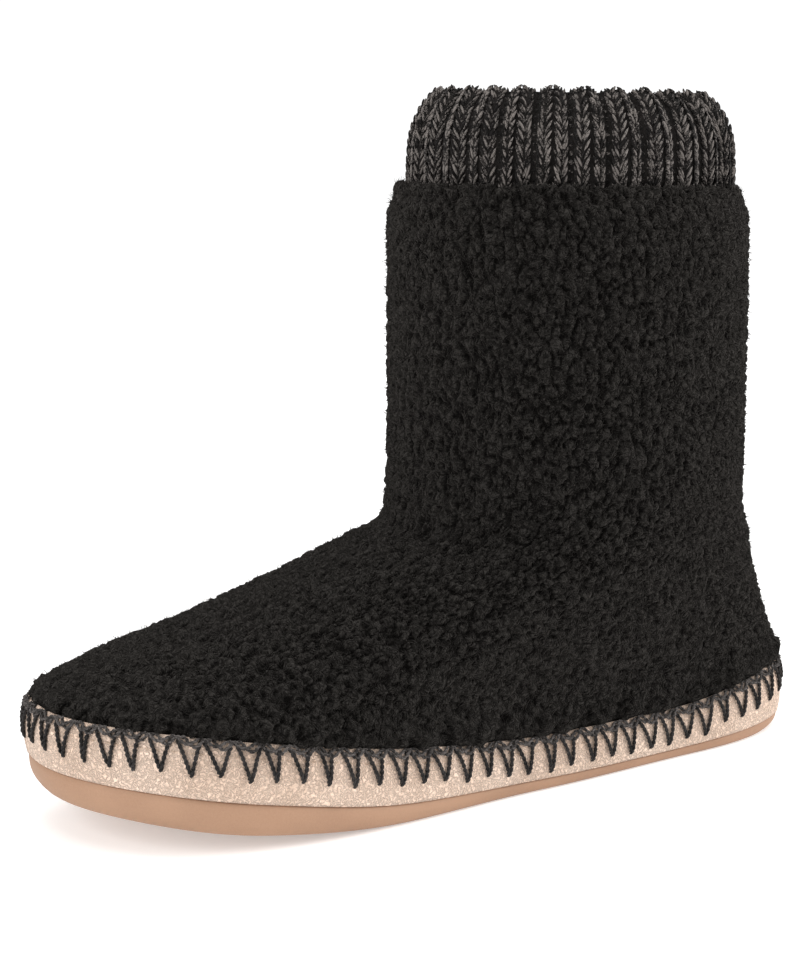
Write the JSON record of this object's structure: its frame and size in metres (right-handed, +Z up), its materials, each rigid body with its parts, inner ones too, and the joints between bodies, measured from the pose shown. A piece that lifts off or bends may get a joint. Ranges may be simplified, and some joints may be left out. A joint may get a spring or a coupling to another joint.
{
  "type": "bootie slipper",
  "caption": "Left-foot bootie slipper: sherpa fleece boot with a folded rib-knit cuff, a blanket-stitched suede sidewall band and a moulded sole with toe spring",
  "frame": {"origin": "middle of the bounding box in X and Y, on the floor that the sole stands on", "axes": "+Z up, -Y to the toe, +Y to the heel, +X to the outer side of the left foot"},
  "size_m": [0.1008, 0.27, 0.2221],
  "materials": {
    "outsole": "tan moulded rubber with a fine matt grain and a rounded lower edge",
    "band_suede": "beige microsuede with a short worm-like nap",
    "fleece": "black sherpa fleece in soft clumped curls",
    "rib_knit": "charcoal and grey marled yarn in 2x2 rib",
    "footbed": "dark plush lining"
  },
  "bodies": {
    "root": {"outsole": "outsole", "sidewall_band": "band_suede", "upper": "fleece", "cuff": "rib_knit", "insole": "footbed"}
  },
  "joints": []
}
